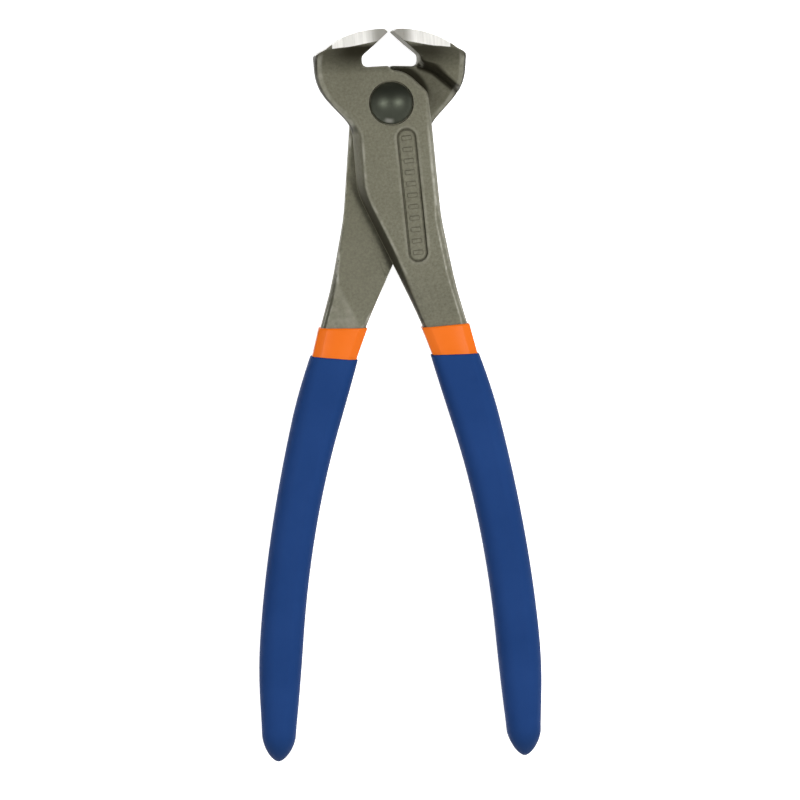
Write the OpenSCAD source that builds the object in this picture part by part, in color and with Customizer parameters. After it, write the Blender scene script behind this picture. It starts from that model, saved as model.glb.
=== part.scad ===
// End cutting nippers: two forged steel levers lapped on one rivet, with dipped two-colour grips.
// The pivot axis is Z, the jaws point along +Y and the flat back of the joint lies at z = 0.
// Both levers are one forging. Each is drawn with the jaws shut and its lap face near z = 0,
// as the lever in front: left jaw, right handle. The lever behind is the same piece turned over.

/* [Joint] */
// Thickness of one lever at the joint
lap_t = 6.5; // [5.5:0.1:8]
// Clearance between the two lapped faces
lap_gap = 0.1; // [0.04:0.02:0.3]
// Wall of the round boss outside the rivet's seat
boss_wall = 3; // [2:0.1:4]
// Angle the jaws stand open at rest
rest_open = 4.2; // [0:0.1:8]
// Clearance between the two cutting edges when shut
edge_gap = 0.06; // [0.02:0.02:0.2]
// Clearance beside the other lever's neck when shut
recess_gap = 0.3; // [0.2:0.1:1]
// Distance below the pivot where the raised rib of the neck begins
rib_start = 19; // [16:0.5:22]
// Slope of the jaw's shoulder wall away from the pivot axis
shoulder_draft = 10; // [6:1:14]
// Slope of the raised shank's side towards the other lever
rib_tilt = 16; // [15:0.5:24]
// Direction of that side's foot, turned from straight across the tool
rib_turn = 62; // [59:0.5:65]
// Clearance from the other lever's neck to the foot of that side when shut
rib_clearance = 0.9; // [0.5:0.1:1.5]

/* [Rivet] */
// Radius of the rivet's shank
pin_r = 4; // [3:0.1:4.6]
// Running clearance of the shank in the front lever
pin_clearance = 0.05; // [0.02:0.01:0.1]
// Overhang of the domed head past the shank
head_lip = 1.7; // [1.2:0.05:2.5]
// Height of the dome above its rim
dome_h = 2.5; // [1.5:0.1:3.5]
// Height of the head's straight rim
rim_h = 0.8; // [0.6:0.1:1.2]
// Depth of the round seat the head lies in
seat_depth = 0.6; // [0.3:0.1:1]
// Clearance around the head in its seat
seat_clearance = 0.3; // [0.3:0.05:0.8]
// Clearance under the head
head_lift = 0.05; // [0.02:0.01:0.1]
// Flare of the peened tail past the shank
tail_flare = 1; // [0.5:0.1:1.6]
// Depth of the peened tail's countersink
tail_depth = 1.4; // [0.8:0.1:2]

/* [Head] */
// Distance from the pivot to the cutting edge
edge_h = 19.3; // [18.5:0.1:21]
// Rise of the crown above the cutting edge
crown_rise = 0.9; // [0.5:0.1:1.5]
// Radius of the crown in face view
crown_r = 25; // [22:0.5:28]
// Width across both shut jaws
head_w = 40.4; // [38:0.1:44]
// Height of the jaw's outer corner above the pivot
corner_h = 14.1; // [13:0.1:14.6]
// Rounding of the jaw's outer corner
corner_r = 2.2; // [1:0.1:3]
// Height where the jaw's side would meet its lower flank
flank_top = 4.9; // [3.5:0.1:6]
// Rounding between the jaw's side and its lower flank
flank_r = 14; // [8:0.5:15]
// Width of the mouth between the shut jaws
mouth_w = 14.8; // [13:0.2:17]
// Height of the mouth's floor above the boss
mouth_step = 1.1; // [0.6:0.1:1.4]
// Height of the mouth's side wall
mouth_h = 3; // [2.8:0.1:4]
// Depth of the jaws along the pivot axis
jaw_depth = 23; // [20:0.5:26]
// Height where the jaw begins to flare
flare_start = 6.5; // [5.5:0.1:7]
// Radius of the concave flare
flare_r = 11; // [9:0.5:13]
// Distance from the cutting edge down to the ground facet's lower line
facet_drop = 2.8; // [2.4:0.1:4]
// Slope of the ground facet
facet_tilt = 33; // [25:1:40]
// Turn of the ground facet towards the jaw's side
facet_skew = 9; // [4:0.5:12]
// Height of the jaw's shoulder above the mouth's floor
shoulder_step = 1.2; // [0.8:0.1:1.8]
// Length of the shoulder's first stretch beside the mouth
shoulder_run = 4.7; // [3.5:0.1:6]
// Fall of that first stretch
shoulder_fall = 20; // [16:1:24]
// Fall of the shoulder's outer stretch
shoulder_end_fall = 38; // [34:1:42]

/* [Shank] */
// Neck edge nearest the other handle, from the middle
neck_in = 10.8; // [10:0.1:11]
// Neck edge away from the other handle, from the middle
neck_out = 10.8; // [10.6:0.1:11.4]
// Spread of that edge down to its bend
neck_spread = 1.2; // [0.8:0.1:1.5]
// Distance below the pivot where flank and neck would meet
neck_top = 6; // [5.8:0.1:7]
// Rounding between flank and neck
neck_fillet = 8; // [5:0.5:9]
// Distance below the pivot of the neck's inner bend
bend_h = 23.9; // [22:0.1:27]
// Rounding of the neck's inner bend
bend_r = 16; // [10:1:30]
// Distance below the pivot of the neck's outer bend
outer_bend_h = 31.5; // [28:0.5:36]
// Rounding of the shank's outer edge
outer_r = 50; // [30:5:60]
// Distance above the band where the shank's edges ease into the handle
edge_ease = 6; // [4:0.5:8]
// Rounding where the shank's crotch edge eases into the handle
crotch_r = 15; // [8:1:18]
// Distance below the pivot where the raised side reaches its full depth
rib_full = 34; // [30:0.5:38]
// Distance above the band where the face begins to drop to the tang
face_drop = 16; // [12:0.5:20]
// Width of the shank where the grip begins
shank_w = 12.1; // [11:0.1:12.6]
// Swell of the shank's crotch edge past the handle's line
crotch_swell = 0.7; // [0.2:0.1:1]
// Width of the neck's sloped side nearest the other handle
slope_w = 2.3; // [1.5:0.1:3]
// Height of that sloped side
slope_h = 4; // [3:0.1:5]
// Width of the neck's sloped outer side
outer_slope_w = 1.1; // [0.6:0.1:1.6]
// Height of that sloped outer side
outer_slope_h = 2.4; // [1.5:0.1:3]
// Rounding of the shank's long edges
edge_r = 1.8; // [1:0.1:2.4]

/* [Handle] */
// Distance from the pivot to the end of the grips
handle_l = 181.1; // [170:0.1:190]
// Distance between the handles' ends when shut
handle_spread = 54.7; // [50:0.1:60]
// Radius of the handles' bow
bow_r = 330; // [300:5:400]
// Distance below the pivot where the bow ends
bow_end = 162.7; // [155:0.1:170]
// Lean of the handle where it leaves the shank
lean = 15.4; // [14:0.1:17]
// Thickness of the tang along the pivot axis
tang_t = 8; // [7:0.1:9]
// Width of the tang at its narrow stretch
tang_w = 8; // [7.5:0.1:8.6]
// Width of the tang at its end
tang_tip_w = 5.6; // [5:0.1:7]
// Power of the tang's flare up to the band
tang_flare = 3; // [2.6:0.1:3.6]
// Length over which the tang's long edges grow rounder below the band
round_run = 40; // [30:1:50]
// Length over which the tang narrows towards its end
tip_taper = 24; // [20:1:30]
// Length of solid grip past the tang's end
grip_end = 10; // [8:0.5:13]

/* [Grips] */
// Distance from the pivot to the top of the liner's band
band_top = 61.7; // [60:0.1:64]
// Height of the liner's band left bare by the cover
band_h = 8.2; // [5:0.1:12]
// Thickness of the liner
liner_t = 0.5; // [0.4:0.05:0.8]
// Thickness of the cover
cover_t = 1.4; // [0.8:0.05:1.8]
// Thickness of the cover at its upper edge
cover_edge_t = 0.5; // [0.3:0.05:0.7]
// Length over which the cover thickens
cover_run = 18; // [14:0.5:22]
// Clearance between steel, liner and cover
layer_gap = 0.04; // [0.02:0.02:0.1]
// Length of the grip's tapered nose
nose_l = 7; // [6:0.5:9]

/* [Panel] */
// Length of the round-ended panel sunk in the front lever's neck
panel_l = 36.5; // [30:0.1:38]
// Width of the panel
panel_w = 5.3; // [4:0.1:5.6]
// Depth of the panel
panel_depth = 0.5; // [0.2:0.05:0.8]
// Lean of the panel
panel_tilt = 2.7; // [1:0.1:4]
// Distance from the middle to the panel's upper end
panel_x = 3.6; // [2.8:0.1:4.2]
// Distance from the rivet's seat to the panel's upper end
panel_margin = 1; // [0.8:0.1:3]
// Number of plain raised bars in the panel
bar_count = 11; // [5:1:13]
// Length of one raised bar, across the panel
bar_l = 2.6; // [2:0.1:3]
// Width of one raised bar
bar_w = 0.9; // [0.6:0.1:1.2]
// Height of one raised bar
bar_h = 0.25; // [0.1:0.05:0.5]

/* [Hidden] */
$fn = 64;
steel = [0.46, 0.45, 0.39];
dark_steel = [0.3, 0.31, 0.28];
orange = [0.95, 0.45, 0.14];
blue = [0.14, 0.26, 0.47];
bore_r = pin_r + pin_clearance;
rivet_head_r = pin_r + head_lip;
seat_r = rivet_head_r + seat_clearance;
tail_r = pin_r + tail_flare;
boss_r = seat_r + boss_wall;
mouth_floor = boss_r + mouth_step;
mouth_top = mouth_floor + mouth_h;
shoulder_h = mouth_floor + shoulder_step;
shoulder_w = mouth_w / 2 + shoulder_run;
facet_low = edge_h - facet_drop;
panel_top = seat_r + panel_margin;
jaw_half = jaw_depth / 2;
tang_half = tang_t / 2;
tang_end = grip_end - handle_l;
cover_top = -band_top - band_h;
lap_face = lap_gap / 2;
neck_edge_h = boss_r * 0.6;
shank_top = flare_start - 0.8;
far = 90;
arc_step = 6;

// Points along an arc
function arc(c, r, a0, a1, n) = [for (i = [0 : n]) let(a = a0 + (a1 - a0) * i / n) c + r * [cos(a), sin(a)]];

function unit(p) = p / norm(p);

// One corner at b, rounded by r, between its neighbours a and c
function rounded_corner(a, b, c, r) = let(
    u = unit(a - b),
    w = unit(c - b),
    half = acos(u * w) / 2,
    centre = b + unit(u + w) * r / sin(half),
    from = b + u * r / tan(half) - centre,
    to = b + w * r / tan(half) - centre,
    a0 = atan2(from.y, from.x),
    turn = (atan2(to.y, to.x) - a0 + 540) % 360 - 180
  ) arc(centre, r, a0, a0 + turn, max(1, ceil(abs(turn) / arc_step)));

// A line of corners [x, y, r], rounded wherever r is above zero, the last one next to the first
function rounded_line(p) = let(n = len(p)) [for (i = [0 : n - 1])
    let(here = [p[i].x, p[i].y], before = p[(i + n - 1) % n], after = p[(i + 1) % n])
    each (p[i][2] > 0
      ? rounded_corner([before.x, before.y], here, [after.x, after.y], p[i][2])
      : [here])];

// Where a line of points stands across, at height v
function across(points, v) = lookup(v, [for (p = points) [p.y, p.x]]);

// A value that eases from one end to the other between two heights
function ease(v, v0, a, v1, b) = let(
    t = min(1, max(0, (v - v0) / (v1 - v0)))
  ) a + (b - a) * t * t * (3 - 2 * t);

// Centreline of the handle: straight, then bowed, then straight
function bowed(v) = handle_spread / 2 - bow_r + sqrt(pow(bow_r, 2) - pow(max(0, v + bow_end), 2));
bow_start = -bow_end + bow_r * sin(lean);
function handle_mid(v) = v > bow_start ? bowed(bow_start) - (v - bow_start) * tan(lean) : bowed(v);

// Width of the tang: flared up to the band, rounded in towards its end
function tang_width(v) = let(
    low = tang_end + tip_taper,
    up = max(0, v - low) / (-band_top - low),
    down = max(0, low - v) / tip_taper
  ) tang_w + (shank_w - tang_w) * pow(up, tang_flare) - (tang_w - tang_tip_w) * pow(down, 2);

// Long edges of the lever from the head to the top of the band
inner_edge = rounded_line([
  [-head_w / 2, corner_h, 0],
  [-head_w / 2, flank_top, flank_r],
  [-neck_in, -neck_top, neck_fillet],
  [0.4 - neck_in, -bend_h, bend_r],
  [handle_mid(edge_ease - band_top) - shank_w / 2 - crotch_swell, edge_ease - band_top, crotch_r],
  [handle_mid(-band_top) - shank_w / 2, -band_top, 0]]);
outer_edge = rounded_line([
  [boss_r * 0.7, boss_r * 0.7, 0],
  [boss_r * 1.12, boss_r * 0.29, 3],
  [neck_out, -neck_edge_h, 2.5],
  [neck_out + neck_spread, -outer_bend_h, outer_r],
  [handle_mid(edge_ease * 2 - band_top) + shank_w / 2 + 0.3, edge_ease * 2 - band_top, outer_r],
  [handle_mid(-band_top) + shank_w / 2, -band_top, 0]]);

// Part of a corner's width or height: round for p = 1, a flat slope for p = 2
function bend(c, p) = sign(c) * pow(abs(c), p);

// A rectangle in the plane y = v with rounded corners below and sloped ones [width, height] above
function ring(v, x0, x1, z0, z1, low, inner, outer, p = 1, n = 3) = [for (c = [
      [x1 - low, z0 + low, low, low, -90, 1],
      [x1 - outer.x, z1 - outer.y, outer.x, outer.y, 0, p],
      [x0 + inner.x, z1 - inner.y, inner.x, inner.y, 90, p],
      [x0 + low, z0 + low, low, low, 180, 1]])
    each [for (i = [0 : n]) let(a = c[4] + 90 * i / n)
      [c[0] + c[2] * bend(cos(a), c[5]), v, c[1] + c[3] * bend(sin(a), c[5])]]];

// A size of the neck's slope: small at the head, full along the neck, rounded at the band
function slope(v, full) = ease(v, -neck_top - 3, full, shank_top, 0.2)
  + ease(v, -band_top, edge_r - full, -bend_h - 12, 0);

// Rings of the shank: thin and flat at the lap, full depth from the rib down
function shank_ring(v) = ring(v,
  across(inner_edge, v) + ease(v, -neck_top - 1, 0, -neck_top + 3, 0.04),
  across(outer_edge, v),
  ease(v, -rib_full, -tang_half, -rib_start, -0.5),
  ease(v, -band_top, tang_half, face_drop - band_top, lap_t),
  ease(v, -rib_full, edge_r, -rib_start, 0.2),
  [slope(v, slope_w), slope(v, slope_h)],
  [slope(v, outer_slope_w), slope(v, outer_slope_h)],
  ease(v, -band_top, 1, -bend_h - 12, 1.6));

// Rings of the tang, grown outwards by t for the layers on it
function tang_ring(v, t = 0, shrink = 1) = let(
    half_w = (tang_width(max(v, tang_end)) / 2 + t) * shrink,
    half_t = (tang_half + t) * shrink,
    r = (edge_r + ease(v, -band_top - round_run, 0.6, -band_top, 0) + t) * shrink
  ) ring(v, handle_mid(v) - half_w, handle_mid(v) + half_w, -half_t, half_t, r, [r, r], [r, r]);

neck_low = -neck_top - 4;
shank_heights = concat(
  [for (i = [0 : 14]) shank_top + (neck_low - shank_top) * i / 15],
  [for (i = [0 : 20]) neck_low + (-band_top - neck_low) * i / 21]);
tang_steps = 14;
function tang_height(i, top) = top + (tang_end - top) * i / tang_steps;

// Solid through a run of rings, closed at both ends
module loft(rings) {
  n = len(rings[0]);
  last = (len(rings) - 1) * n;
  polyhedron(
    points = [for (r = rings) each r],
    faces = concat(
      [[for (i = [0 : n - 1]) i]],
      [for (k = [0 : len(rings) - 2]) for (i = [0 : n - 1])
        let(a = k * n + i, b = k * n + (i + 1) % n)
        each [[a, a + n, b + n], [a, b + n, b]]],
      [[for (i = [n - 1 : -1 : 0]) last + i]]));
}

// Jaw in face view, with its cutting edge, crown, outer corner and mouth
module jaw_plan() {
  crown_x = 2.6;
  crown_y = edge_h + crown_rise - crown_r;
  start = acos((crown_x - 0.9) / crown_r);
  crown = arc([-crown_x, crown_y], crown_r, start, 126, 9);
  polygon(rounded_line(concat(
    [[-edge_gap / 2, edge_h, 0]],
    [for (p = crown) [p.x, p.y, 0]],
    [[-head_w / 2, corner_h, corner_r],
      [-head_w / 2, flank_top, flank_r],
      [-neck_in, -neck_top, 0],
      [1, -neck_top, 0],
      [1, boss_r - 0.5, 0],
      [-0.3, mouth_floor, 0],
      [-mouth_w / 2, mouth_floor, 1.5],
      [-mouth_w / 2, mouth_top, 1.2]])));
}

// Jaw in side view: lap thickness, then a concave flare to full depth
module jaw_side() {
  rise = jaw_half - lap_t;
  reach = acos((flare_r - rise) / flare_r);
  flare = arc([flare_start, lap_t + flare_r], flare_r, -90, reach - 90, 8);
  upper = concat(flare, [[far / 2, jaw_half]]);
  polygon(concat(
    [[-boss_r / 2, -0.3], [shank_top - 0.4, -0.3], [shank_top - 0.4, lap_t]],
    upper,
    [for (i = [len(upper) - 1 : -1 : 0]) [upper[i].x, -upper[i].y]],
    [[-boss_r / 2, -lap_t]]));
}

// Everything in front of the ground facet's plane
module facet_cut() {
  translate([-mouth_w / 2, facet_low, jaw_half])
    rotate([-facet_tilt, 0, facet_skew])
      translate([-far / 2, -far / 2, 0])
        cube([far, far, far / 2]);
}

module jaw() {
  difference() {
    intersection() {
      translate([0, 0, -far / 2])
        linear_extrude(far)
          jaw_plan();
      rotate([90, 0, 90])
        translate([0, 0, -far / 2])
          linear_extrude(far)
            jaw_side();
    }
    facet_cut();
    mirror([0, 0, 1])
      facet_cut();
  }
}

// Everything below a sloped shoulder wall through [x, y], turned by a
module shoulder_side(x, y, a) {
  translate([x, y, -lap_t])
    rotate([shoulder_draft, 0, a])
      translate([-far, -far * 2, -far])
        cube([far * 2, far * 2, far * 2]);
}

// Room for the other lever: below the shoulder, and clear of the other lever's neck
module mate_room() {
  other_edge = [for (p = inner_edge) if (p.y < -rib_start - 0.5) [recess_gap - p.x, p.y]];
  top_edge = recess_gap - across(inner_edge, -rib_start);
  intersection() {
    translate([0, 0, -far])
      linear_extrude(far + lap_face)
        polygon(concat(
          [[far, -rib_start], [top_edge, -rib_start]],
          other_edge,
          [[-far, -band_top], [-far, far], [far, far]]));
    shoulder_side(-mouth_w / 2, shoulder_h, shoulder_fall);
    shoulder_side(-shoulder_w, shoulder_h - shoulder_run * tan(shoulder_fall), shoulder_end_fall);
  }
}

// Sloped side of the raised shank, beside the other lever
module rib_side() {
  intersection() {
    translate([-far, -band_top, -far])
      cube([far * 2, band_top - rib_start, far + lap_face]);
    translate([rib_clearance - across(inner_edge, -bend_h), -bend_h, lap_face])
      rotate([0, 0, rib_turn - 180])
        rotate([-rib_tilt, 0, 0])
          translate([-far, -far, -far * 2])
            cube(far * 2);
  }
}

// One forged lever without its rivet hole
module forging() {
  difference() {
    union() {
      jaw();
      cylinder(r = boss_r, h = lap_t);
      loft(concat(
        [for (v = shank_heights) shank_ring(v)],
        [for (i = [0 : tang_steps]) tang_ring(tang_height(i, -band_top))]));
    }
    mate_room();
    rib_side();
  }
}

// Swing a lever open and set the joint's back face at z = 0
module front_place() {
  translate([0, 0, lap_t])
    rotate([0, 0, rest_open / 2])
      children();
}

module back_place() {
  translate([0, 0, lap_t])
    rotate([0, 0, -rest_open / 2])
      rotate([0, 180, 0])
        children();
}

// Round-ended panel sunk in the neck, with plain raised bars on its floor
module panel_cut() {
  r = panel_w / 2;
  run = panel_l - panel_w;
  translate([panel_x, -panel_top - r, lap_t - panel_depth])
    rotate([0, 0, panel_tilt])
      difference() {
        union() {
          cylinder(r = r, h = panel_depth + 1);
          translate([0, -run, 0])
            cylinder(r = r, h = panel_depth + 1);
          translate([-r, -run, 0])
            cube([panel_w, run, panel_depth + 1]);
        }
        for (i = [0 : bar_count - 1])
          translate([-bar_l / 2, -run * i / (bar_count - 1) - bar_w / 2, -1])
            cube([bar_l, bar_w, bar_h + 1]);
      }
}

module front_lever() {
  color(steel)
    front_place()
      difference() {
        forging();
        translate([0, 0, -1])
          cylinder(r = bore_r, h = lap_t + 2);
        translate([0, 0, lap_t - seat_depth])
          cylinder(r = seat_r, h = seat_depth + 1);
        panel_cut();
      }
}

module back_lever() {
  color(steel)
    back_place()
      difference() {
        forging();
        translate([0, 0, -1])
          cylinder(r = pin_r, h = lap_t + 2);
        translate([0, 0, lap_t - tail_depth])
          cylinder(r1 = pin_r, r2 = tail_r, h = tail_depth);
      }
}

// Domed rivet: head at the front, shank through both laps, tail peened flush at the back
module pivot_rivet() {
  head_z = lap_t * 2 - seat_depth + head_lift;
  dome_r = (pow(rivet_head_r, 2) + pow(dome_h, 2)) / (2 * dome_h);
  color(dark_steel)
    union() {
      cylinder(r = pin_r, h = head_z + rim_h);
      cylinder(r1 = tail_r, r2 = pin_r, h = tail_depth);
      translate([0, 0, head_z])
        cylinder(r = rivet_head_r, h = rim_h);
      intersection() {
        translate([0, 0, head_z + rim_h + dome_h - dome_r])
          sphere(r = dome_r);
        translate([0, 0, head_z + rim_h])
          cylinder(r = rivet_head_r, h = dome_h + 1);
      }
    }
}

// First dip: a thin sleeve over the whole tang, bare as a band above the cover
module grip_liner() {
  loft(concat(
    [for (i = [tang_steps : -1 : 0]) tang_ring(tang_height(i, -band_top) - layer_gap, layer_gap)],
    [for (i = [0 : tang_steps]) tang_ring(tang_height(i, -band_top) - layer_gap, liner_t)],
    [tang_ring(tang_end - liner_t * 2, liner_t, 0.75)]));
}

// Second dip: a thicker sleeve that starts below the band and ends in a tapered nose
module grip_cover() {
  liner_end = tang_end - liner_t * 2 - layer_gap;
  nose = -handle_l + nose_l;
  shell = liner_t + layer_gap;
  function outer_t(v) = liner_t + cover_t
    - (cover_t - cover_edge_t) * pow(max(0, 1 - (cover_top - v) / cover_run), 2);
  function outer_v(i) = cover_top + (nose - cover_top) * i / tang_steps;
  loft(concat(
    [tang_ring(liner_end, shell, 0.8)],
    [for (i = [tang_steps : -1 : 0]) tang_ring(tang_height(i, cover_top), shell)],
    [for (i = [0 : tang_steps]) tang_ring(outer_v(i), outer_t(outer_v(i)))],
    [for (x = [0.15, 0.35, 0.55, 0.75, 0.9, 0.98])
      tang_ring(nose - nose_l * x, outer_t(nose), pow(1 - pow(x, 1.2), 0.57))]));
}

module left_grip_liner() {
  color(orange)
    back_place()
      grip_liner();
}

module left_grip_cover() {
  color(blue)
    back_place()
      grip_cover();
}

module right_grip_liner() {
  color(orange)
    front_place()
      grip_liner();
}

module right_grip_cover() {
  color(blue)
    front_place()
      grip_cover();
}

front_lever();
back_lever();
pivot_rivet();
left_grip_liner();
left_grip_cover();
right_grip_liner();
right_grip_cover();
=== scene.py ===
import math

import bmesh
import bpy
import numpy as np
from mathutils import Matrix, Vector


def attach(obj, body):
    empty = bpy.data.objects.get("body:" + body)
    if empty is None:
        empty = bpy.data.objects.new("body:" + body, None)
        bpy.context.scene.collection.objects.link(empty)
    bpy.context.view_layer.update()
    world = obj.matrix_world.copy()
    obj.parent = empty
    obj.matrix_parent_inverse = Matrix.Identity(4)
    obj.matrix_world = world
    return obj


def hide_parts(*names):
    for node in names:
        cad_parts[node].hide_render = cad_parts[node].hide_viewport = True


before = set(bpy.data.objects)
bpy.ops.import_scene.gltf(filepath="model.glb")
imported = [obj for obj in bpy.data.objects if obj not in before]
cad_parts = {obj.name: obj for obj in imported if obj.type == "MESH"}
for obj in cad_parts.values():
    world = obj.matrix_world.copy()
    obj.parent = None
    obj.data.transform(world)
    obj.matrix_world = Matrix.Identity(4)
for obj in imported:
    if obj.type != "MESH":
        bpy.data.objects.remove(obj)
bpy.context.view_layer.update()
MM = 0.001

# Sizes shared with the solid model, in millimetres and degrees
LAP = 6.5
HALF_OPEN = math.radians(2.1)
MOUTH_W = 14.8
BOSS_R = 9.0
FACET_LOW = 16.5
FACET_TILT = math.radians(33)
FACET_SKEW = math.radians(9)
JAW_HALF = 11.5
PIN_R = 4.0
SEAT_R = 6.0
SEAT_DEPTH = 0.6
HEAD_R = 5.7
HEAD_RIM = 0.8
HEAD_GAP = 0.05
DOME_H = 2.5
PANEL_TOP = (3.6, -9.65)
PANEL_RUN = 31.2
PANEL_R = 2.65
PANEL_DEPTH = 0.5
PANEL_TILT = math.radians(2.7)
BARS = 11
BAND_TOP = 61.7
BAND_H = 8.2
SHANK_W = 12.1
TANG_W = 8.0
TANG_TIP_W = 5.6
TANG_FLARE = 3
ROUND_RUN = 40.0
TIP_TAPER = 24.0
TANG_HALF = 4.0
EDGE_R = 1.8
HANDLE_L = 181.1
GRIP_END = 10.0
SPREAD = 54.7
BOW_R = 330.0
BOW_END = 162.7
LEAN = math.radians(15.4)
LINER_T = 0.5
COVER_T = 1.4
COVER_EDGE_T = 0.5
COVER_RUN = 18.0
LAYER_GAP = 0.04
NOSE_L = 7.0
RIB_FOOT = (11.2, -23.9)
RIB_TURN = math.radians(62)
SHOULDER = ((12.0, math.radians(20)), (13.87, math.radians(38)))

# Worked out from those
TANG_END = GRIP_END - HANDLE_L
BOW_START = -BOW_END + BOW_R * math.sin(LEAN)

# The sizes below belong to the finish, which only the scene has, in millimetres and degrees

# Fine mesh of a forging: size of its voxels, distance that welds points, and angle of a sharp edge
VOXEL = 0.26
WELD = 1e-4
SHARP_EDGE = math.radians(32)

# Passes of smoothing on its edges, jaw side, flank, shoulder wall and rib foot, and room at that foot
EDGE_PASSES = 10
SIDE_PASSES = 150
FLANK_PASSES = 45
WALL_PASSES = 160
FOOT_PASSES = 250
FOOT_ROOM = 0.05

# Ground facets: outer end, sink, cuts that carry their painted light, where it turns from painted shade
# near the tip to a painted highlight, and limits of the crown
FACET_END = -15.4
FACET_SINK = 0.12
FACET_CUTS = np.arange(-12.0, -2.5, 1.0)
FACET_PAINTED_LIGHT = (-2.5, -6.5)
CROWN_LOW = 13.5
CROWN_RISE = 0.55

# Flat face of the front lever, from this height up, with the panel's floor, bars, groove and lip
FACE_H = 5.0
PANEL_FLOOR_RISE = 0.24
BAR_RISE = 0.24
BAR_HALF = (1.0, 0.25)
BAR_SLOPE = (0.5, 0.15)
GROOVE_AT = -0.3
LIP_RISE = 0.07
LIP_AT = 0.42

# Edge lines: step along the tool, reach of one step, where the face beside the edge is read, jaw's run
EDGE_STEP = 0.5
EDGE_NEAR = 0.4
FACE_INSET = 3.2
FACE_NEAR = 0.6
FLANK_RUN = (-9, 15)

# Bevels along the shank's outer edge, above and below: side, start, least width, growth and its end
BEVELS = ((1, -18, 0.4, 1.4, -34), (-1, -43, 0.0, 1.6, -54))
BEVEL_FALL = 0.65
BEVEL_RUN = (-68, -14)
BEVEL_END = -67

# Grips: points around, rings inside and outside each layer and on the cover's tip
AROUND = 72
LINER_RINGS = (40, 90)
COVER_RINGS = (30, 110, 22)

# Slower taper past the tang's end, extra corner radius down the grip, and how much darker the grips'
# ends are
TIP_EASE = 2.0
TIP_SLOW = 0.4
GRIP_EXTRA_R = 0.6
END_DARKENING = 0.6

# Rivet: points around, steps over the dome, turn of the painted highlight on the rim, and angle of a
# sharp edge
RIVET_AROUND = 96
DOME_STEPS = 24
GLINT_TURN = 99
RIVET_SHARP = math.radians(50)

# Floor: height just under the jaws, their place along the tool, slope, middle, half size and brightness
FLOOR_H = -5.2
FLOOR_AT = 14.8
FLOOR_SLOPE = 5.4 / 187.8
FLOOR_MID = -80.0
FLOOR_HALF = 1500.0
FLOOR_GLOW = 0.88

# Sky strength on the grips' side and on the jaws' side, and how far round it changes
SKY = (0.60, 0.06)
SKY_REACH = 0.7

# Camera, in metres and degrees
EYE_AT = Vector((-0.070, 0.010, 1.300))
EYE_AIM = Vector((0.00125, -0.081175, 0.0065))
ROLL = math.radians(1.03)
LENS = 213.57
SENSOR = 36
CLIP = (0.1, 20)


def turned(co, angle):
    c, s = math.cos(angle), math.sin(angle)
    return np.stack([co[:, 0] * c - co[:, 1] * s, co[:, 0] * s + co[:, 1] * c, co[:, 2]], 1)


# From a lever drawn shut, with its lap face at z = 0, to its place in the tool, and back
def front_place(co):
    return turned(co, HALF_OPEN) + [0, 0, LAP]


def front_unplace(co):
    return turned(co - [0, 0, LAP], -HALF_OPEN)


def back_place(co):
    return turned(co * [-1, 1, -1], -HALF_OPEN) + [0, 0, LAP]


def back_unplace(co):
    return turned(co - [0, 0, LAP], HALF_OPEN) * [-1, 1, -1]


def step(a, b, x):
    t = np.clip((x - a) / (b - a), 0, 1)
    return t * t * (3 - 2 * t)


def between(a, b, c, d, x):
    return step(a, b, x) * step(d, c, x)


# One soft bump around a middle
def bell(mid, width, x):
    return np.exp(-(((x - mid) / width) ** 2))


def strongest(*places):
    return np.maximum.reduce([strength * place for strength, place in places])


def new_object(name, co, faces, material):
    mesh = bpy.data.meshes.new(name)
    mesh.from_pydata((np.asarray(co) * MM).tolist(), [], faces)
    mesh.materials.append(material)
    mesh.shade_smooth()
    obj = bpy.data.objects.new(name, mesh)
    bpy.context.scene.collection.objects.link(obj)
    return obj


def set_values(mesh, label, values):
    mesh.attributes.new(label, "FLOAT", "POINT").data.foreach_set("value", values.astype(np.float32))


# Faces of a closed run of rings with n points each, and a middle point at either end
def ring_faces(rings, n):
    faces = []
    for k in range(rings - 1):
        for i in range(n):
            j = (i + 1) % n
            faces.append((k * n + i, k * n + j, (k + 1) * n + j, (k + 1) * n + i))
    for i in range(n):
        j = (i + 1) % n
        faces.append((rings * n, j, i))
        faces.append((rings * n + 1, (rings - 1) * n + i, (rings - 1) * n + j))
    return faces


def coordinates(mesh):
    co = np.zeros(len(mesh.vertices) * 3)
    mesh.vertices.foreach_get("co", co)
    return co.reshape(-1, 3)


def vertex_normals(mesh):
    normals = np.zeros(len(mesh.vertices) * 3)
    mesh.vertices.foreach_get("normal", normals)
    return normals.reshape(-1, 3)


def edge_pairs(mesh):
    pairs = np.zeros(len(mesh.edges) * 2, np.int64)
    mesh.edges.foreach_get("vertices", pairs)
    return pairs.reshape(-1, 2)


def neighbour_mean(co, pairs):
    a, b, n = pairs[:, 0], pairs[:, 1], len(co)
    count = np.maximum(1, np.bincount(a, minlength=n) + np.bincount(b, minlength=n))
    total = [np.bincount(a, co[b, k], n) + np.bincount(b, co[a, k], n) for k in range(co.shape[1])]
    return np.stack(total, 1) / count[:, None]


def smoothed(co, pairs, weight, times):
    pairs = pairs[(weight[pairs] > 0.001).any(1)]
    near, local = np.unique(pairs, return_inverse=True)
    local = local.reshape(-1, 2)
    part, pull = co[near], 0.5 * weight[near][:, None]
    for _ in range(times):
        part = part + (neighbour_mean(part, local) - part) * pull
    co = co.copy()
    co[near] = part
    return co


# Materials

def node_material(name):
    mat = bpy.data.materials.new(name)
    mat.use_nodes = True
    tree = mat.node_tree
    shader = tree.nodes["Principled BSDF"]
    return mat, tree, shader


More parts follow.
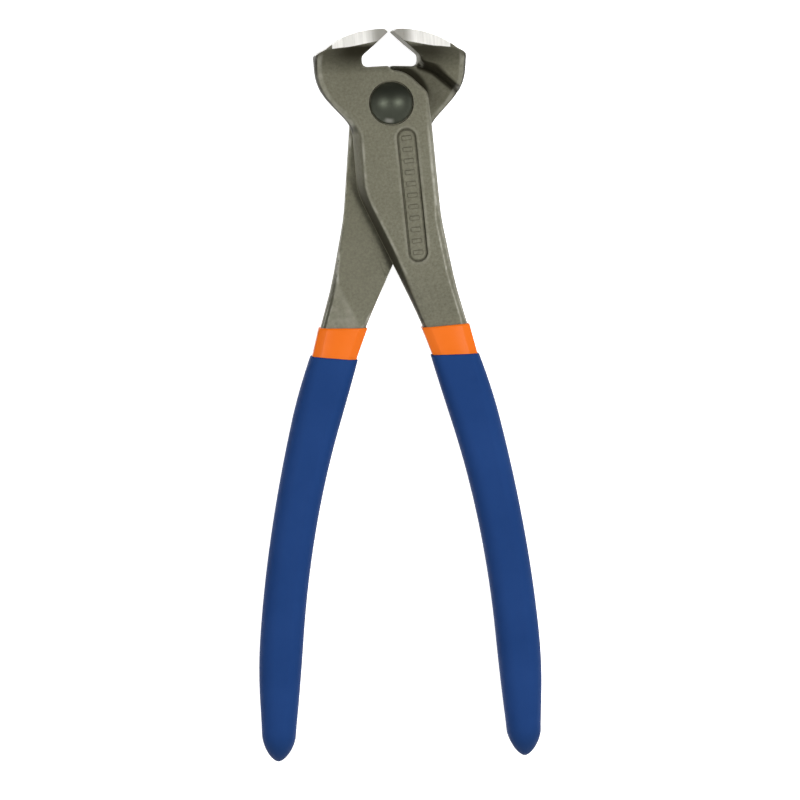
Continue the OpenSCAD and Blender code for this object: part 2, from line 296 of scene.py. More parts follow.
def noise(tree, scale, detail=3.0, rough=0.55, stretch=None):
    where = tree.nodes.new("ShaderNodeTexCoord").outputs["Object"]
    if stretch:
        mapping = tree.nodes.new("ShaderNodeMapping")
        mapping.inputs["Scale"].default_value = stretch
        tree.links.new(where, mapping.inputs["Vector"])
        where = mapping.outputs["Vector"]
    node = tree.nodes.new("ShaderNodeTexNoise")
    node.inputs["Scale"].default_value = scale
    node.inputs["Detail"].default_value = detail
    node.inputs["Roughness"].default_value = rough
    tree.links.new(where, node.inputs["Vector"])
    return node.outputs["Fac"]


def ramp(tree, source, low, high, a, b):
    node = tree.nodes.new("ShaderNodeMapRange")
    node.inputs["From Min"].default_value = low
    node.inputs["From Max"].default_value = high
    node.inputs["To Min"].default_value = a
    node.inputs["To Max"].default_value = b
    tree.links.new(source, node.inputs["Value"])
    return node.outputs["Result"]


def mixed(tree, factor, a, b):
    node = tree.nodes.new("ShaderNodeMix")
    node.data_type = "RGBA"
    tree.links.new(factor, node.inputs["Factor"])
    for value, socket in ((a, node.inputs[6]), (b, node.inputs[7])):
        if isinstance(value, tuple):
            socket.default_value = (*value, 1)
        else:
            tree.links.new(value, socket)
    return node.outputs[2]


def attribute(tree, name):
    node = tree.nodes.new("ShaderNodeAttribute")
    node.attribute_name = name
    return node.outputs["Fac"]


def bump(tree, shader, heights):
    normal = None
    for height, strength, distance in heights:
        node = tree.nodes.new("ShaderNodeBump")
        node.inputs["Strength"].default_value = strength
        node.inputs["Distance"].default_value = distance
        tree.links.new(height, node.inputs["Height"])
        if normal:
            tree.links.new(normal, node.inputs["Normal"])
        normal = node.outputs["Normal"]
    tree.links.new(normal, shader.inputs["Normal"])


def arithmetic(tree, operation, a, b):
    node = tree.nodes.new("ShaderNodeMath")
    node.operation = operation
    for value, socket in ((a, node.inputs[0]), (b, node.inputs[1])):
        if isinstance(value, float):
            socket.default_value = value
        else:
            tree.links.new(value, socket)
    return node.outputs[0]


def forged_steel():
    mat, tree, shader = node_material("forged_steel")
    clouds = ramp(tree, noise(tree, 70, 4), 0.3, 0.7, 0, 1)
    grain = ramp(tree, noise(tree, 1300, 4, 0.65), 0.32, 0.68, 0, 1)
    patches = ramp(tree, noise(tree, 420, 3), 0.35, 0.65, 0.35, 1.25)
    patchy_wear_and_highlight = arithmetic(tree, "MULTIPLY", attribute(tree, "wear_and_highlight"), patches)
    colour = mixed(tree, clouds, (0.196, 0.190, 0.136), (0.226, 0.220, 0.163))
    colour = mixed(tree, ramp(tree, grain, 0, 1, 0.55, 0), colour, (0.095, 0.092, 0.064))
    # Darkened by the "scale" values: dark scale on the flare and the shoulder's wall, and painted shade
    # and shadow elsewhere
    colour = mixed(tree, attribute(tree, "scale"), colour, (0.019, 0.017, 0.009))
    # Lightened by edge wear and by painted highlights on edges, crests, the mouth walls and the jaw's
    # flank
    colour = mixed(tree, patchy_wear_and_highlight, colour, (0.46, 0.45, 0.38))
    tree.links.new(colour, shader.inputs["Base Color"])
    shader.inputs["Metallic"].default_value = 0.35
    shader.inputs["Specular IOR Level"].default_value = 0.1
    tree.links.new(ramp(tree, grain, 0, 1, 0.48, 0.60), shader.inputs["Roughness"])
    pits, skin = noise(tree, 260, 3), noise(tree, 1500, 4, 0.7)
    bump(tree, shader, [(pits, 0.25, 0.00014), (skin, 0.45, 0.00006)])
    return mat


def ground_steel():
    mat, tree, shader = node_material("ground_steel")
    lines = noise(tree, 60, 4, 0.7, (9, 0.6, 0.6))
    fine = noise(tree, 60, 3, 0.6, (50, 1.5, 1.5))
    # The facets' painted light: painted shade near the tip, a near-white painted highlight further out
    colour = mixed(tree, attribute(tree, "facet_painted_light"), (0.32, 0.31, 0.275), (0.97, 0.955, 0.91))
    colour = mixed(tree, ramp(tree, lines, 0.40, 0.62, 0.22, 0), colour, (0.40, 0.385, 0.34))
    colour = mixed(tree, ramp(tree, fine, 0.4, 0.6, 0.1, 0), colour, (0.30, 0.29, 0.26))
    tree.links.new(colour, shader.inputs["Base Color"])
    shader.inputs["Metallic"].default_value = 0.05
    tree.links.new(ramp(tree, fine, 0.3, 0.7, 0.26, 0.40), shader.inputs["Roughness"])
    bump(tree, shader, [(fine, 0.25, 0.00003)])
    return mat


def rivet_steel():
    mat, tree, shader = node_material("rivet_steel")
    soft = ramp(tree, noise(tree, 160, 2), 0.3, 0.7, 0, 1)
    colour = mixed(tree, soft, (0.078, 0.086, 0.064), (0.094, 0.102, 0.078))
    # Lightened by the rim's painted highlight
    colour = mixed(tree, attribute(tree, "painted_glint"), colour, (0.34, 0.34, 0.30))
    tree.links.new(colour, shader.inputs["Base Color"])
    shader.inputs["Metallic"].default_value = 0.9
    tree.links.new(ramp(tree, noise(tree, 1800, 3), 0.3, 0.7, 0.37, 0.43), shader.inputs["Roughness"])
    bump(tree, shader, [(noise(tree, 1400, 2), 0.05, 0.00003)])
    return mat


def dipped(name, low, high, end_colour, rough, gloss, peel, fine):
    mat, tree, shader = node_material(name)
    clouds = ramp(tree, noise(tree, 60, 3), 0.3, 0.7, 0, 1)
    colour = mixed(tree, clouds, low, high)
    colour = mixed(tree, attribute(tree, "darker_ends"), colour, end_colour)
    tree.links.new(colour, shader.inputs["Base Color"])
    shader.inputs["Specular IOR Level"].default_value = gloss
    tree.links.new(ramp(tree, noise(tree, 700, 3), 0.3, 0.7, *rough), shader.inputs["Roughness"])
    bump(tree, shader, [(noise(tree, 330, 2), peel, 0.00012), (noise(tree, 2600, 3), fine, 0.00004)])
    return mat


STEEL = forged_steel()
GROUND = ground_steel()
RIVET = rivet_steel()
ORANGE = dipped(
    "orange_vinyl", low=(0.80, 0.152, 0.0075), high=(0.83, 0.168, 0.0125), end_colour=(0.62, 0.10, 0.006),
    rough=(0.28, 0.34), gloss=0.2, peel=0.03, fine=0.02)
BLUE = dipped(
    "blue_vinyl", low=(0.0111, 0.0435, 0.162), high=(0.0140, 0.050, 0.181), end_colour=(0.007, 0.024, 0.075),
    rough=(0.52, 0.60), gloss=0.06, peel=0.14, fine=0.18)


# Levers: the solid model's forgings with softened edges, ground facets and a sunk panel

# Distance out from the panel's rim, and place along and across the panel
def panel_distance(x, y):
    along = np.array([math.sin(PANEL_TILT), -math.cos(PANEL_TILT)])
    across = np.array([along[1], -along[0]])
    px, py = x - PANEL_TOP[0], y - PANEL_TOP[1]
    s = px * along[0] + py * along[1]
    t = px * across[0] + py * across[1]
    return np.hypot(s - np.clip(s, 0, PANEL_RUN), t) - PANEL_R, s, t


# Raised bars on the panel's floor
def bars(s, t):
    pitch = PANEL_RUN / (BARS - 1)
    near = np.abs(s - np.round(np.clip(s / pitch, 0, BARS - 1)) * pitch)
    outside = np.hypot(np.maximum(np.abs(t) - BAR_HALF[0], 0), np.maximum(near - BAR_HALF[1], 0))
    return step(*BAR_SLOPE, outside)


# Depth of the panel: a groove inside its rim, a higher floor with the bars, and a slight lip outside
def panel_drop(x, y):
    d, s, t = panel_distance(x, y)
    drop = PANEL_DEPTH * step(0.05, -0.3, d) - PANEL_FLOOR_RISE * step(-0.4, -0.75, d)
    return drop - LIP_RISE * bell(LIP_AT, 0.25, d) - BAR_RISE * bars(s, t)


def facet_planes():
    n = Vector((0, math.sin(FACET_TILT), math.cos(FACET_TILT)))
    n.rotate(Matrix.Rotation(FACET_SKEW, 3, "Z"))
    p = Vector((-MOUTH_W / 2, FACET_LOW, JAW_HALF)) - n * FACET_SINK
    flip = Vector((1, 1, -1))
    return [(p, n), (p * flip, n * flip)]


def voxel_copy(node, unplace):
    bm = bmesh.new()
    bm.from_mesh(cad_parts[node].data)
    bmesh.ops.remove_doubles(bm, verts=bm.verts, dist=WELD * MM)
    mesh = bpy.data.meshes.new(node + "_welded")
    bm.to_mesh(mesh)
    bm.free()
    mesh.vertices.foreach_set("co", unplace(coordinates(mesh) / MM).ravel())
    temp = bpy.data.objects.new(node + "_welded", mesh)
    bpy.context.scene.collection.objects.link(temp)
    remesh = temp.modifiers.new("voxels", "REMESH")
    remesh.mode = "VOXEL"
    remesh.voxel_size = VOXEL
    bpy.context.view_layer.update()
    fine = bpy.data.meshes.new_from_object(temp.evaluated_get(bpy.context.evaluated_depsgraph_get()))
    bpy.data.objects.remove(temp)
    return fine


# Distance past the foot of the raised shank's side
def rib_distance(x, y):
    return (x - RIB_FOOT[0]) * math.sin(RIB_TURN) - (y - RIB_FOOT[1]) * math.cos(RIB_TURN)


# Soft forged edges and hollows, with the cutting edge and the mouth left crisper
# Zones are set by distance across, along and through the lever, and by the slope of its surface
def softened(co, pairs, nz):
    x, y, z = co.T
    edges = step(16.2, 13.2, y) * (1 - 0.65 * step(9.6, 8.6, np.abs(x)) * step(8.6, 9.6, y))
    side = step(-13, -16, x) * step(14.0, 12.0, y) * step(-4, 0, y) * step(6, 8, np.abs(z))
    flank = step(-11, -13, x) * step(6, 2, y) * step(-11, -7, y) * step(4, 5.2, np.abs(z))
    wall = between(-9.5, -8, -1.6, -0.8, z) * between(3, 4.5, 12, 13, y) * step(-6, -8, x)
    foot = between(-6, -4, 4, 7, rib_distance(x, y)) * step(-0.75, -0.92, nz)
    foot = foot * step(1.5, 0.5, z) * step(-17, -20, y)
    zones = ((edges, EDGE_PASSES), (side, SIDE_PASSES), (flank, FLANK_PASSES), (wall, WALL_PASSES),
             (foot, FOOT_PASSES))
    for weight, passes in zones:
        co = smoothed(co, pairs, weight, passes)
    co[:, 2] += FOOT_ROOM * foot
    return co


# Running mean of a line of values
def evened(values):
    return np.convolve(np.pad(values, 3, "edge"), np.full(7, 1 / 7), "valid")


# A lever's outer edge seen from above, and its flat face beside that edge, by height along the tool
def edge_line(co, sign, low, high, depth=0.0):
    x, y, z = co.T
    heights = np.arange(low, high, EDGE_STEP)
    edge, face = [], []
    for h in heights:
        near = np.abs(y - h) < EDGE_NEAR
        edge.append((x[near] * sign).max())
        beside = near & (np.abs(x * sign - edge[-1] + FACE_INSET) < FACE_NEAR)
        face.append((z[beside] * depth).max() if depth else 0)
    return np.interp(y, heights, evened(edge)) * sign, np.interp(y, heights, evened(face))


def outer_bevels(co):
    for side, start, least, growth, full in BEVELS:
        edge, face = edge_line(co, 1, *BEVEL_RUN, side)
        x, y, z = co.T
        width = least + growth * step(start, full, y)
        over = side * z - face + BEVEL_FALL * (x - edge + width)
        over = np.maximum(over * (y < start) * (y > BEVEL_END), 0) / (1 + BEVEL_FALL ** 2)
        co[:, 0] -= BEVEL_FALL * over
        co[:, 2] -= side * over


# Closer points around the rivet's seat and the panel
def refined(fine):
    bm = bmesh.new()
    bm.from_mesh(fine)
    x, y, z = np.array([v.co for v in bm.verts]).T
    r = np.hypot(x, y)
    panel = (panel_distance(x, y)[0] < 0.9) & (r > SEAT_R + 0.7)
    seat = (r > SEAT_R - 0.6) & (r < SEAT_R + 0.8)
    inside = (z > FACE_H) & (panel | seat)
    edges = [e for e in bm.edges if inside[e.verts[0].index] and inside[e.verts[1].index]]
    bmesh.ops.subdivide_edges(bm, edges=edges, cuts=1, use_grid_fill=True)
    bm.to_mesh(fine)
    bm.free()


# The rivet's seat and the panel, pressed into the front lever's flat face
def face_details(co):
    x, y, z = co.T
    r = np.hypot(x, y)
    seat = (z > FACE_H) & (r > PIN_R + 0.6) & (r < SEAT_R + 0.6)
    slot = (z > FACE_H) & (panel_distance(x, y)[0] < 1.2) & (r >= SEAT_R + 0.6)
    co[seat, 2] = LAP - SEAT_DEPTH * step(SEAT_R + 0.08, SEAT_R - 0.1, r[seat])
    co[slot, 2] = LAP - panel_drop(x[slot], y[slot])


# Facets cut flat above and below the jaw, with the crown between them ground too
def ground_facets(bm):
    for p, n in facet_planes():
        whole = bm.verts[:] + bm.edges[:] + bm.faces[:]
        bmesh.ops.bisect_plane(bm, geom=whole, dist=WELD, plane_co=p, plane_no=n, clear_outer=True)
        rim = [e for e in bm.edges if e.is_boundary]
        for f in bmesh.ops.edgeloop_fill(bm, edges=rim)["faces"]:
            f.material_index = 1
        for x in [FACET_END, *FACET_CUTS]:
            near = [f for f in bm.faces if f.material_index == 1]
            edges = list(dict.fromkeys(e for f in near for e in f.edges))
            verts = list(dict.fromkeys(v for f in near for v in f.verts))
            bmesh.ops.bisect_plane(
                bm, geom=near + edges + verts, dist=WELD / 10, plane_co=(x, 0, 0), plane_no=(1, 0, 0))
        bmesh.ops.triangulate(bm, faces=[f for f in bm.faces if len(f.verts) > 4])
    bm.normal_update()
    for f in bm.faces:
        mid = f.calc_center_median()
        if f.normal.y > CROWN_RISE and mid.y > CROWN_LOW:
            f.material_index = 1
        elif mid.x < FACET_END:
            f.material_index = 0


# How far each point stands out from its neighbours, evened a little
def ridges(co, pairs, normals):
    ridge = ((co - neighbour_mean(co, pairs)) * normals).sum(1)[:, None]
    for _ in range(2):
        ridge = 0.5 * ridge + 0.5 * neighbour_mean(ridge, pairs)
    return ridge[:, 0]


# Flat face of the shank towards the other lever
def underside(y, nz):
    return step(-0.6, -0.9, nz) * step(-10, -16, y)


# Turn of the surface between the jaw's face and its side
def jaw_rim(x, y, nx, nz):
    rim = between(-0.72, -0.55, -0.3, -0.15, nx) * step(0.15, 0.4, np.abs(nz)) * step(-11, -12, x)
    return rim * between(-9, -6, 12.5, 14, y)


# The jaw's flank on the rivet head's side of the tool, and the distance in from its edge
def jaw_flank(co, nz, front):
    x, y, _ = co.T
    flank = step(-0.05, 0.25, nz * (1 if front else -1)) * step(-9, -7, y) * step(-10, -11, x)
    return flank, x - edge_line(co, -1, *FLANK_RUN)[0]


# Bright places: ridges with wear and a painted highlight, and painted highlights on the ground mouth
# walls, the shank's right bevel, the jaw's rounded edge, the shank's crest and the jaw's flank
def wear_and_highlight_places(co, normals, ridge, front):
    x, y, z = co.T
    nx, _, nz = normals.T
    rib = rib_distance(x, y)
    # Ridges: edge wear together with a painted highlight, made stronger down the shank and on its right
    # side
    ridge_wear_and_highlight = step(0.004, 0.012, ridge) * (0.1 + 0.4 * step(-5, -9, y))
    ridge_wear_and_highlight = ridge_wear_and_highlight * (1 + 0.6 * step(2, 5, x) * step(-8, -12, y))
    # Painted highlight on the shank's outer bevel on the right
    outer = step(0.3, 0.6, nx) * step(0.15, 0.3, nz) * step(-8, -12, y)
    # The mouth walls: ground steel, brightened further by a painted highlight
    mouth_highlight = step(0.35, 0.15, np.abs(nz)) * step(9, 10, y)
    mouth_highlight = mouth_highlight * step(MOUTH_W / 2 + 1.6, MOUTH_W / 2 + 0.8, np.abs(x))
    # Painted highlight on the crest of the raised shank
    crest_highlight = step(13.4, 14.4, rib) * step(-0.8, -0.93, nz) * step(0, -1, z)
    # Painted highlight on the rounded edge between the jaw's face and its side
    rim = jaw_rim(x, y, nx, nz)
    wear_and_highlight = strongest((1, ridge_wear_and_highlight), (0.16, outer), (0.26, rim), (0.8, mouth_highlight), (0.2, crest_highlight))
    wear_and_highlight = wear_and_highlight * (1 - underside(y, nz) * between(-9, -7, 9, 11, rib))
    flank, inset = jaw_flank(co, nz, front)
    # Painted highlight on a strip of the jaw's flank just inside its edge
    flank_highlight = flank * between(0.5, 0.8, 1.5, 2.2, inset) * step(15, 13.5, y)
    return strongest((1, wear_and_highlight), (0.32, flank_highlight))


# Dark places: the flare and the shoulder's wall, with dark scale and painted shade; painted shade on the
# lap, the bevels, the rib's foot, the sides and the jaw's root; and the other lever's painted shadow
def scale_and_shade_places(co, normals, front):
    x, y, z = co.T
    nx, ny, nz = normals.T
    rib = rib_distance(x, y)
    under = underside(y, nz)
    beside = step(-6.6, -7.4, x)
    # The jaw flare: dark scale plus painted shade, deepest near the mouth and slightly stronger on the
    # front lever
    flare = step(6.8, 14.4, y) * step(0.2, -0.15, ny) * step(0.15, 0.4, np.abs(nz))
    flare = flare * (1 - jaw_rim(x, y, nx, nz)) * (0.56 + 0.38 * step(-18, -10, x))
    flare = flare * (1.04 if front else 0.96)
    # The shoulder's wall: black scale plus painted shade
    wall = step(-0.4, -0.7, ny) * between(-7.8, -7.2, 0.2, 0.8, z) * between(2, 3, 12.4, 13.2, y)
    wall = wall * beside
    # Painted shade on the lap face in the recess, darker in a ring around the boss and at the shoulder
    # wall's foot
    rise = np.minimum.reduce([far + x * math.sin(fall) - y * math.cos(fall) for far, fall in SHOULDER])
    crescent = step(BOSS_R + 2.7, BOSS_R + 1.5, np.hypot(x, y)) * step(0.5, 4.5, y)
    lap = step(-0.5, -0.8, nz) * step(0.9, 0.5, np.abs(z)) * step(-3, 1, y)
    lap = lap * np.maximum(0.34 + 0.64 * crescent, 0.95 * step(1.5, 0.3, rise) * beside)
    # Painted shade on the left-facing bevel, darker further down the shank
    bevel = step(-0.45, -0.75, nx) * step(0.12, 0.3, nz) * step(-6, -10, y)
    bevel = bevel * (0.3 + 0.5 * step(-17, -27, y))
    # Painted shade along the rib's foot beside the other lever, and a faint painted shade line just
    # short of the crest
    foot_shade = 0.1 * between(-9, -7, -2.4, 0.2, rib) * between(-50, -42, -26, -16, y)
    foot_shade = under * (foot_shade + 0.06 * between(-1, 1, 13.2, 14.2, rib))
    # Painted shadow of the other lever on the shank beside it, in two stretches along the shank
    lever_shadow = 0.6 * between(-54, -49, -26, -17, y) + 0.3 * between(-52, -47, -41, -34, y)
    lever_shadow = lever_shadow * under * between(-4.6, -2.2, -1.8, -0.6, rib - 0.08 * np.maximum(0, -38 - y))
    flank, inset = jaw_flank(co, nz, front)
    # Painted shade on the jaws' outer side walls, and as a dark outline along the jaw flank's edge
    side = step(-0.6, -0.85, nx) * step(-9, -6, y)
    rim = flank * step(0.85, 0.5, inset)
    # Painted shade on the shank's lap-side outer bevel, which faces left on the back lever
    below = step(0.3, 0.6, nx) * step(-0.05, -0.2, nz) * step(-30, -40, y)
    # Slight painted shade over the head towards the jaws
    root_shade = step(-6, 0, y)
    return strongest((1, flare), (0.95, wall), (1, lap), (1, bevel), (1, foot_shade), (0.7, lever_shadow),
                     (0.85, side), (0.92, rim), (0.6, below), (0.07, root_shade))


# Painted shade in the panel's groove and along its bars' edges, a painted highlight on its lip, and
# where other wear and highlights stay out of it
def panel_places(co):
    x, y, z = co.T
    d, s, t = panel_distance(x, y)
    face = step(FACE_H, FACE_H + 0.5, z) * step(SEAT_R + 0.4, SEAT_R + 0.8, np.hypot(x, y))
    bar = bars(s, t)
    bar_edge_shade = step(-0.6, -0.9, d) * 4 * bar * (1 - bar)
    # Painted shade in the groove and along the bars' edges
    panel_shade = face * strongest((0.55, bell(GROOVE_AT, 0.26, d)), (0.3, bar_edge_shade))
    # Painted highlight along the lip outside the rim
    lip_highlight = face * 0.22 * bell(LIP_AT, 0.3, d)
    return panel_shade, lip_highlight, 1 - face * step(0.9, 0.6, d)


# Values that the steel's materials read: wear and painted highlights, dark scale and painted shade, and
# the ground facets' painted light
def finishes(mesh, front):
    co, pairs, normals = coordinates(mesh), edge_pairs(mesh), vertex_normals(mesh)
    wear_and_highlight = wear_and_highlight_places(co, normals, ridges(co, pairs, normals), front)
    scale = scale_and_shade_places(co, normals, front)
    if front:
        panel_shade, lip_highlight, clear = panel_places(co)
        scale = np.maximum(scale, panel_shade)
        wear_and_highlight = np.maximum(wear_and_highlight * clear, lip_highlight)
    set_values(mesh, "wear_and_highlight", wear_and_highlight)
    set_values(mesh, "scale", scale)
    # Painted light along the ground facets, dark near the tip and bright further out
    set_values(mesh, "facet_painted_light", step(*FACET_PAINTED_LIGHT, co[:, 0]))


def lever(node, name, place, unplace, front):
    fine = voxel_copy(node, unplace)
    co = softened(coordinates(fine), edge_pairs(fine), vertex_normals(fine)[:, 2])
    outer_bevels(co)
    fine.vertices.foreach_set("co", co.ravel())
    if front:
        refined(fine)
        co = coordinates(fine)
        face_details(co)
        fine.vertices.foreach_set("co", co.ravel())
    bm = bmesh.new()
    bm.from_mesh(fine)
    bpy.data.meshes.remove(fine)
    ground_facets(bm)
    mesh = bpy.data.meshes.new(name)
    bm.to_mesh(mesh)
    bm.free()
    finishes(mesh, front)
    mesh.vertices.foreach_set("co", (place(coordinates(mesh)) * MM).ravel())
    mesh.materials.append(STEEL)
    mesh.materials.append(GROUND)
    mesh.shade_smooth()
    mesh.set_sharp_from_angle(angle=SHARP_EDGE)
    obj = bpy.data.objects.new(name, mesh)
    bpy.context.scene.collection.objects.link(obj)
    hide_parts(node)
    return obj


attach(lever("front_lever", "front_forging", front_place, front_unplace, True), "front_half")
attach(lever("back_lever", "back_forging", back_place, back_unplace, False), "back_half")


# Grips: two dipped layers swept along the bowed tang

def bowed(v):
    return SPREAD / 2 - BOW_R + np.sqrt(BOW_R ** 2 - np.maximum(0, v + BOW_END) ** 2)


def handle_mid(v):
    v = np.asarray(v, float)
    return np.where(v > BOW_START, bowed(BOW_START) - (v - BOW_START) * math.tan(LEAN), bowed(v))


def tang_width(v):
    low = TANG_END + TIP_TAPER
    up = max(0, v - low) / (-BAND_TOP - low)
    down = max(0, low - v) / TIP_TAPER
    return TANG_W + (SHANK_W - TANG_W) * up ** TANG_FLARE - (TANG_W - TANG_TIP_W) * down ** 2


# Past the tang's end the taper goes on more slowly
def slowed(v):
    past = (v - TANG_END) / TIP_EASE
    return TANG_END + TIP_EASE * (TIP_SLOW * past + (1 - TIP_SLOW) * np.logaddexp(0, past))


# Part of a corner's width or height: round for p = 1, a flat slope for p = 2
def bent(k, p):
    return np.sign(k) * np.abs(k) ** p


def outline(half_w, half_t, rx, rz, p):
    a = np.linspace(0, 2 * math.pi, AROUND, endpoint=False) + math.pi / AROUND
    c, s = np.cos(a), np.sin(a)
    x = np.sign(c) * (half_w - rx) + rx * bent(c, p)
    z = np.sign(s) * (half_t - rz) + rz * bent(s, p)
    return x, z


# One ring around the tang, grown by t, with a share of the dip's uneven edge
def tang_ring(v, t=0.0, shrink=1.0, p=1.0, edge=(0, 0, 0), share=1.0):
    half_w = (tang_width(slowed(v)) / 2 + t) * shrink
    half_t = (TANG_HALF + t) * shrink
    r = (EDGE_R + GRIP_EXTRA_R * (1 - step(-BAND_TOP - ROUND_RUN, -BAND_TOP, v)) + t) * shrink
    rx, rz = min(r, half_w * 0.98), min(r, half_t * 0.98) * (1 - 0.55 * (p - 1))
    x, z = outline(half_w, half_t, rx, rz, p)
    a = np.arctan2(z, x)
    up, tilt, wave = edge
    y = v + share * (up + tilt * np.cos(a) + wave * (0.6 * np.sin(a + 0.7) + 0.4 * np.sin(2 * a + 1.9)))
    return np.stack([handle_mid(y) + x, y, z], 1)


def swept(name, rings, material, place):
    path = np.concatenate([*rings, [rings[0].mean(0), rings[-1].mean(0)]])
    obj = new_object(name, place(path), ring_faces(len(rings), AROUND), material)
    bm = bmesh.new()
    bm.from_mesh(obj.data)
    bmesh.ops.recalc_face_normals(bm, faces=bm.faces)
    bm.to_mesh(obj.data)
    bm.free()
    # Darker towards the grips' ends
    set_values(obj.data, "darker_ends", END_DARKENING * step(TANG_END, -HANDLE_L, path[:, 1]))
    return obj


def liner(name, place, edge):
    top = -BAND_TOP - LAYER_GAP
    band_end = -BAND_TOP - BAND_H

    def flat_corners(v):
        return 1 + 0.8 * step(band_end - 3, band_end - 1, v)

    inner = [tang_ring(v, LAYER_GAP, edge=edge, share=step(top - 5, top, v))
             for v in np.linspace(top, TANG_END, LINER_RINGS[0])]
    lip = [tang_ring(top - dy, t, edge=edge, p=1.8)
           for dy, t in ((0.02, 0.2), (0.1, 0.38), (0.3, LINER_T))]
    outer = [tang_ring(v, LINER_T, edge=edge, share=step(top - 8, top - 2, v), p=flat_corners(v))
             for v in np.linspace(top - 0.7, TANG_END, LINER_RINGS[1])]
    end = [tang_ring(TANG_END - LINER_T * 2, LINER_T, 0.75)]
    return swept(name, inner[::-1] + lip + outer + end, ORANGE, place)


def cover(name, place, edge):
    top = -BAND_TOP - BAND_H
    nose = -HANDLE_L + NOSE_L
    shell = LINER_T + LAYER_GAP

    def thick(v):
        return LINER_T + COVER_T - (COVER_T - COVER_EDGE_T) * max(0, 1 - (top - v) / COVER_RUN) ** 2

    closed = [tang_ring(TANG_END - LINER_T * 2 - LAYER_GAP, shell, 0.8)]
    inner = [tang_ring(v, shell, edge=edge, share=step(top - 5, top, v))
             for v in np.linspace(top, TANG_END, COVER_RINGS[0])]
    lip = [tang_ring(top - dy, shell + t, edge=edge)
           for dy, t in ((0.02, 0.2), (0.08, 0.36), (0.2, 0.45))]
    outer = [tang_ring(v, thick(v), edge=edge, share=step(top - 9, top - 1, v))
             for v in np.linspace(top - 0.4, nose, COVER_RINGS[1])]
    along = [math.sin(s * math.pi / 2) for s in np.linspace(0.05, 0.97, COVER_RINGS[2])]
    tip = [tang_ring(nose - NOSE_L * x, thick(nose), (1 - x ** 1.6) ** 0.6) for x in along]
    return swept(name, closed + inner[::-1] + lip + outer + tip, BLUE, place)


# Rise, tilt and waviness of the dipped layers' upper edges
DIPS = (("left", "back_half", back_place, (0.3, -0.2, 0.12), (0.2, 0.3, 0.12)),
        ("right", "front_half", front_place, (0.5, 0.25, -0.1), (0.6, -0.15, 0.1)))
for side, body, place, band_edge, cover_edge in DIPS:
    band = liner(side + "_liner", place, band_edge)
    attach(band, body)
    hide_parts(side + "_grip_liner")
    grip = cover(side + "_cover", place, cover_edge)
    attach(grip, body)
    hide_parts(side + "_grip_cover")


# Rivet: a turned profile with a domed head, an eased rim and a peened tail
def rivet_profile():
    base = LAP * 2 - SEAT_DEPTH + HEAD_GAP
    top = base + HEAD_RIM + DOME_H
    ball = (HEAD_R ** 2 + DOME_H ** 2) / (2 * DOME_H)
    tail = [(0, 0.02), (2.5, 0.02), (4.4, 0.06), (4.85, 0.16), (4.97, 0.3), (PIN_R, 1.4)]
    rim = [(PIN_R, base), (HEAD_R - 0.2, base), (HEAD_R - 0.03, base + 0.12),
           (HEAD_R, base + HEAD_RIM - 0.1)]
    angles = [math.asin(HEAD_R / ball) * (1 - k / DOME_STEPS) for k in range(1, DOME_STEPS + 1)]
    return tail + rim + [(ball * math.sin(a), top - ball + ball * math.cos(a)) for a in angles]


def rivet():
    profile = rivet_profile()
    turns = [2 * math.pi * i / RIVET_AROUND for i in range(RIVET_AROUND)]
    co = [(r * math.cos(a), r * math.sin(a), h) for r, h in profile[1:-1] for a in turns]
    co += [(0, 0, profile[0][1]), (0, 0, profile[-1][1])]
    obj = new_object("rivet", co, ring_faces(len(profile) - 2, RIVET_AROUND), RIVET)
    x, y, z = np.array(co).T
    # A painted highlight on the rim, at one turn, where a glint of light would fall
    turn = np.abs((np.degrees(np.arctan2(y, x)) + GLINT_TURN + 180) % 360 - 180)
    painted_glint = step(20, 4, turn) * between(3.9, 4.7, 5.1, 5.6, np.hypot(x, y)) * (z > LAP)
    set_values(obj.data, "painted_glint", painted_glint)
    obj.data.set_sharp_from_angle(angle=RIVET_SHARP)
    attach(obj, "back_half")
    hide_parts("pivot_rivet")


rivet()


# Floor, sloped to touch the jaws and the grips' ends, and white to the camera and in reflections
def floor():
    mat, tree, shader = node_material("pale_floor")
    shader.inputs["Base Color"].default_value = (0.8, 0.8, 0.8, 1)
    shader.inputs["Roughness"].default_value = 0.9
    shader.inputs["Specular IOR Level"].default_value = 0.1
    shader.inputs["Emission Color"].default_value = (1, 1, 1, 1)
    path = tree.nodes.new("ShaderNodeLightPath").outputs
    seen = arithmetic(tree, "MAXIMUM", path["Is Camera Ray"], path["Is Glossy Ray"])
    seen = arithmetic(tree, "MAXIMUM", seen, path["Is Transmission Ray"])
    tree.links.new(arithmetic(tree, "MULTIPLY", seen, FLOOR_GLOW), shader.inputs["Emission Strength"])
    co = []
    for sx, sy in ((-1, -1), (1, -1), (1, 1), (-1, 1)):
        y = FLOOR_MID + sy * FLOOR_HALF
        co.append((sx * FLOOR_HALF, y, FLOOR_H + (FLOOR_AT - y) * FLOOR_SLOPE))
    obj = new_object("floor", co, [(0, 1, 2, 3)], mat)


floor()


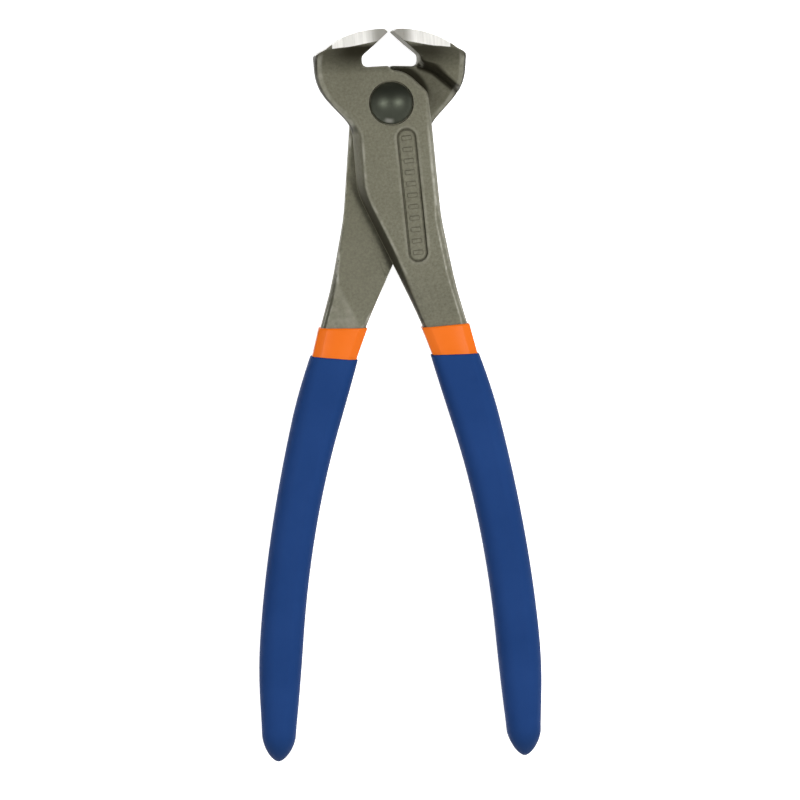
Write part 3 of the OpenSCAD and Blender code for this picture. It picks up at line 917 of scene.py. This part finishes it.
def lamp(name, at, aim, size, power, glossy=True):
    light = bpy.data.lights.new(name, "AREA")
    light.shape = "RECTANGLE"
    light.size, light.size_y = size
    light.energy = power
    obj = bpy.data.objects.new(name, light)
    obj.location = at
    obj.rotation_euler = (Vector(aim) - Vector(at)).to_track_quat("-Z", "Y").to_euler()
    obj.visible_glossy = glossy
    bpy.context.scene.collection.objects.link(obj)


# Two soft boxes, a key that casts the soft shadows, and a strip past the jaws
lamp("left_box", at=(-0.60, 0.0, 1.05), aim=(0, -0.06, 0), size=(0.35, 0.6), power=3.3)
lamp("right_box", at=(0.60, 0.05, 1.05), aim=(0, -0.06, 0), size=(0.32, 0.6), power=3.6)
lamp("right_key", at=(0.54, -0.05, 1.05), aim=(0, -0.06, 0), size=(0.12, 0.25), power=5.5, glossy=False)
lamp("top_strip", at=(0, 1.0, 0.42), aim=(0, 0, 0.01), size=(1.2, 0.3), power=2.6, glossy=False)


def sky():
    world = bpy.data.worlds.new("studio")
    world.use_nodes = True
    tree = world.node_tree
    light = tree.nodes["Background"]
    light.inputs["Color"].default_value = (1, 1, 1, 1)
    parts = tree.nodes.new("ShaderNodeSeparateXYZ")
    tree.links.new(tree.nodes.new("ShaderNodeTexCoord").outputs["Generated"], parts.inputs["Vector"])
    tree.links.new(ramp(tree, parts.outputs["Y"], -SKY_REACH, SKY_REACH, *SKY), light.inputs["Strength"])
    bpy.context.scene.world = world


sky()

# Camera at the photograph's angle
camera = bpy.data.cameras.new("camera")
camera.lens = LENS
camera.sensor_width = SENSOR
camera.clip_start, camera.clip_end = CLIP
eye = bpy.data.objects.new("camera", camera)
bpy.context.scene.collection.objects.link(eye)
ahead = (EYE_AIM - EYE_AT).normalized()
right = ahead.cross(Vector((math.sin(ROLL), math.cos(ROLL), 0))).normalized()
facing = Matrix((right, right.cross(ahead), -ahead)).transposed().to_4x4()
eye.matrix_world = Matrix.Translation(EYE_AT) @ facing
bpy.context.scene.camera = eye
bpy.context.scene.view_settings.view_transform = "Standard"
